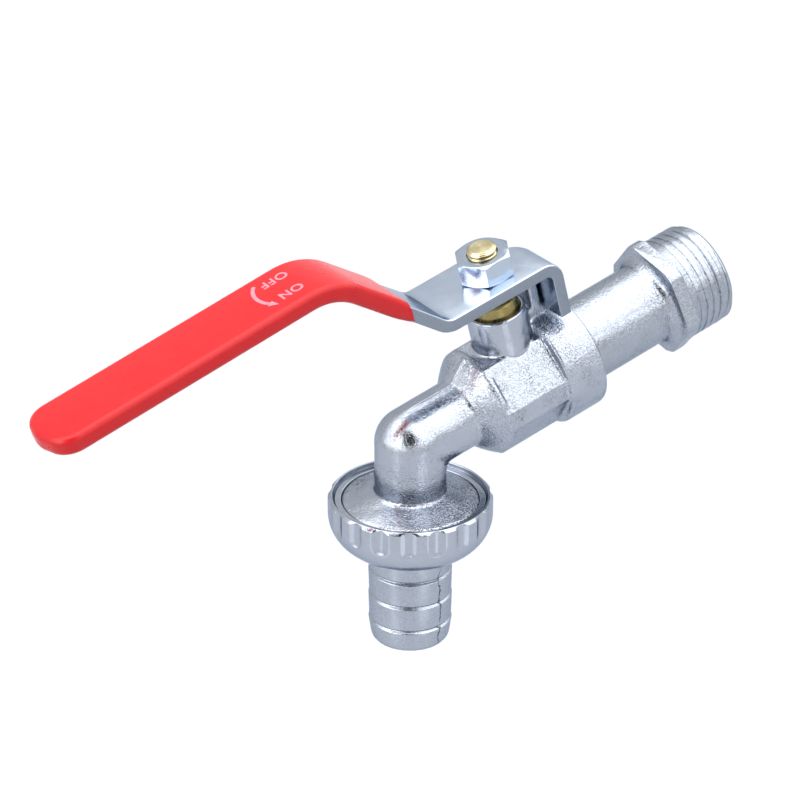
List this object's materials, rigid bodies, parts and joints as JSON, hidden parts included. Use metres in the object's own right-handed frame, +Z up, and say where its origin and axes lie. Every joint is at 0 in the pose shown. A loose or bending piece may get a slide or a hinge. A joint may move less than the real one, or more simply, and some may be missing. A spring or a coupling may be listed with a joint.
{
  "type": "lever hose tap",
  "caption": "Quarter-turn ball tap with a male thread inlet, tilted outlet with union nut and barbed hose tail, and a cranked flat lever in a red grip sleeve.",
  "frame": {"origin": "on the pipe axis, at the thread side of the inlet hexagon, where the thread begins", "axes": "+X out along the inlet thread, +Z up along the stem, outlet and grip towards -X"},
  "size_m": [0.1419, 0.0318, 0.0875],
  "materials": {
    "plating": "dull chrome plating over a cast and turned surface",
    "ball_chrome": "polished",
    "zinc_steel": "bright zinc plating",
    "nut_steel": "bright nickel plating",
    "brass": "turned",
    "red_sleeve": "glossy soft vinyl",
    "seat": "plain",
    "seal": "plain"
  },
  "bodies": {
    "tap": {"valve_body": "plating", "inlet_tail": "plating", "joint_ring": "seal", "front_seat": "seat", "rear_seat": "seat", "thrust_washer": "seat", "stem_packing": "seat", "gland_nut": "brass"},
    "handle": {"stem": "brass", "stem_o_ring": "seal", "lever": "zinc_steel", "grip_sleeve": "red_sleeve", "handle_nut": "nut_steel"},
    "ball": {"ball": "ball_chrome"},
    "connector": {"hose_tail": "plating", "hose_washer": "seal"},
    "union": {"union_nut": "plating"}
  },
  "joints": [
    {"name": "lever_turn", "type": "hinge", "parent": "tap", "child": "handle", "pos_m": [-0.0373, 0, 0], "axis": [0, 0, 1], "range_deg": [-90, 0]},
    {"name": "ball_turn", "type": "hinge", "parent": "tap", "child": "ball", "pos_m": [-0.0373, 0, 0], "axis": [0, 0, 1], "range_deg": [-90, 0]},
    {"name": "connector_slide", "type": "slide", "parent": "tap", "child": "connector", "axis": [-0.2487, 0, -0.9686], "range_m": [0, 0.0041]},
    {"name": "union_nut_turn", "type": "hinge", "parent": "connector", "child": "union", "pos_m": [-0.06166, 0, 0], "axis": [-0.2487, 0, -0.9686], "range_deg": [0, 810]}
  ],
  "couplings": [
    {"joint": "ball_turn", "follows": "lever_turn", "ratio": 1},
    {"joint": "connector_slide", "follows": "union_nut_turn", "m_per_rad": 0.00028871}
  ]
}
